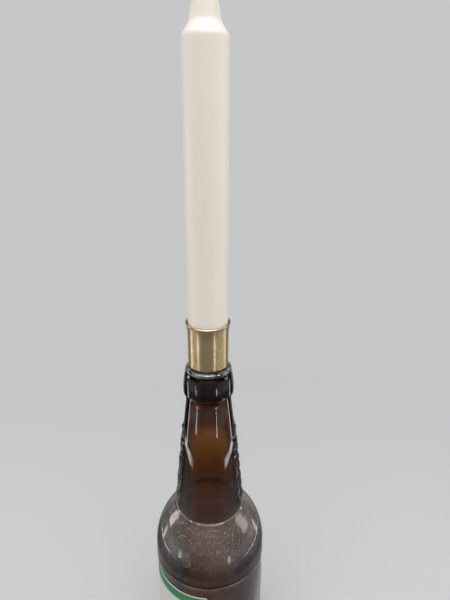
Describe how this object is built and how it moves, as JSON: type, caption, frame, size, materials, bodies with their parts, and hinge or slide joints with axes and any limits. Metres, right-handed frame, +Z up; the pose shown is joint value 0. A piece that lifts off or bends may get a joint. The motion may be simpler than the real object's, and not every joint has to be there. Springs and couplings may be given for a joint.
{
  "type": "bottle candle holder",
  "caption": "Bottle candle holder: a turned brass candle cup with a grooved stem stands in the mouth of a brown glass bottle and holds a white dinner candle.",
  "frame": {"origin": "centre of the bottle's base, on the surface it stands on", "axes": "+Z up along the bottle and the candle; -Y is the side the picture shows; +X to its right"},
  "size_m": [0.07, 0.07, 0.461],
  "materials": {
    "brown_glass": "clear polished",
    "front_paper": "coated, green border",
    "back_paper": "coated",
    "black_rubber": "matt",
    "turned_brass": "satin, turning marks",
    "screw_steel": "zinc plated",
    "candle_wax": "smooth, waxy",
    "cotton": "braided, waxed"
  },
  "bodies": {
    "glassware": {"bottle": "brown_glass", "front_label": "front_paper", "back_label": "back_paper"},
    "cup_stopper": {"seat_ring": "black_rubber", "candle_cup": "turned_brass", "spigot": "turned_brass", "grip_ring_upper": "black_rubber", "grip_ring_middle": "black_rubber", "grip_ring_lower": "black_rubber", "cup_screw": "screw_steel"},
    "candle": {"candle_wax": "candle_wax", "wick": "cotton"}
  },
  "joints": [
    {"name": "holder_lift", "type": "slide", "parent": "glassware", "child": "cup_stopper", "axis": [0, 0, 1], "range_m": [0, 0.035]},
    {"name": "candle_lift", "type": "slide", "parent": "cup_stopper", "child": "candle", "axis": [0, 0, 1], "range_m": [0, 0.03]}
  ]
}
